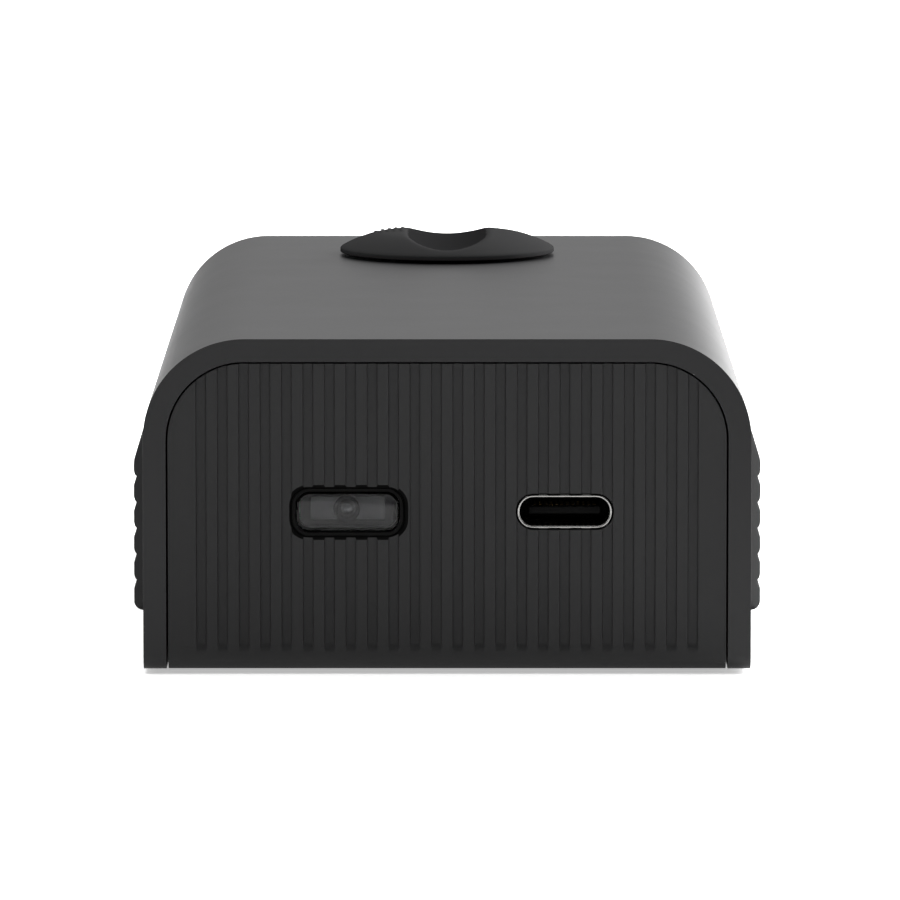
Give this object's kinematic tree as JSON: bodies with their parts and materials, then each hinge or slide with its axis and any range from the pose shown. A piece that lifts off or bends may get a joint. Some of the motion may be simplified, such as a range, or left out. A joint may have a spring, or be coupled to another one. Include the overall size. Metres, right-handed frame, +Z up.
{
  "type": "launch monitor",
  "caption": "Pocket launch monitor: arched shell with fluted end panels, a small sensor window and USB-C socket at one end, ribbed side grips and a round press button with a finger groove on top.",
  "frame": {"origin": "middle of the footprint on the surface that the four rubber feet stand on", "axes": "+Z up, -Y out of the front panel with the sensor window and the USB-C socket, +X to the right as that panel is looked at"},
  "size_m": [0.0594, 0.106, 0.0342],
  "materials": {
    "satin_shell": "satin black, fine spark-eroded texture",
    "fluted_panel": "matt black",
    "base_plastic": "matt black",
    "grip_rubber": "matt black rubber",
    "foot_rubber": "matt black rubber",
    "button_plastic": "satin dark grey",
    "bezel_plastic": "gloss black",
    "window_glass": "smoked, clear",
    "sensor_plastic": "dark grey moulding",
    "sensor_plate_grey": "mid grey plate",
    "lens_holder_black": "satin black",
    "lens_glass": "coated lens",
    "stainless": "bright stainless steel",
    "black_screw_steel": "blackened steel",
    "nylon_black": "black moulding",
    "circuit_board": "green solder mask over glass laminate",
    "chip_black": "moulded epoxy",
    "tinplate": "tin-plated steel can",
    "antenna_copper": "gold-plated copper",
    "battery_pouch": "laminated aluminium pouch",
    "foam_tape": "black foam tape",
    "socket_cream": "cream moulding",
    "lead_red": "red sleeve",
    "flat_cable": "amber polyimide"
  },
  "bodies": {
    "housing": {"outer_shell": "satin_shell", "front_panel": "fluted_panel", "rear_panel": "fluted_panel", "base_plate": "base_plastic", "chassis_frame": "nylon_black", "foot_front_left": "foot_rubber", "foot_front_right": "foot_rubber", "foot_rear_left": "foot_rubber", "foot_rear_right": "foot_rubber", "base_screw_front_left": "black_screw_steel", "base_screw_front_right": "black_screw_steel", "base_screw_rear_left": "black_screw_steel", "base_screw_rear_right": "black_screw_steel", "grip_left": "grip_rubber", "grip_right": "grip_rubber", "window_bezel": "bezel_plastic", "window_glass": "window_glass", "sensor_board": "circuit_board", "sensor_housing": "sensor_plastic", "sensor_plate": "sensor_plate_grey", "lens_holder": "lens_holder_black", "lens": "lens_glass", "usb_shell": "stainless", "usb_tongue": "nylon_black", "main_board": "circuit_board", "board_screw_front_left": "black_screw_steel", "board_screw_front_right": "black_screw_steel", "board_screw_rear_left": "black_screw_steel", "board_screw_rear_right": "black_screw_steel", "processor_shield": "tinplate", "wireless_module": "tinplate", "memory_chip": "chip_black", "charge_coil": "chip_black", "battery_socket": "socket_cream", "battery_plug": "socket_cream", "battery_lead": "lead_red", "battery_cell": "battery_pouch", "battery_pad": "foam_tape", "radar_board": "circuit_board", "radar_shield": "tinplate", "radar_antenna": "antenna_copper", "sensor_cable": "flat_cable", "radar_cable": "flat_cable", "switch_cable": "flat_cable", "sensor_cable_socket": "socket_cream", "radar_cable_socket": "socket_cream", "switch_cable_socket": "socket_cream", "button_spring": "stainless", "switch_board": "circuit_board", "switch_body": "chip_black", "switch_screw_left": "black_screw_steel", "switch_screw_right": "black_screw_steel"},
    "button": {"button_cap": "button_plastic", "button_clip": "stainless"},
    "switch_plunger": {"switch_plunger": "socket_cream"}
  },
  "joints": [
    {"name": "button_press", "type": "slide", "parent": "housing", "child": "button", "axis": [0, 0, -1], "range_m": [0, 0.0003], "stiffness_N_per_m": 60, "springref_m": -0.004, "deforming": ["button_spring"]},
    {"name": "switch_press", "type": "slide", "parent": "housing", "child": "switch_plunger", "axis": [0, 0, -1], "range_m": [0, 0.0003]}
  ],
  "couplings": [
    {"joint": "switch_press", "follows": "button_press", "ratio": 1}
  ]
}
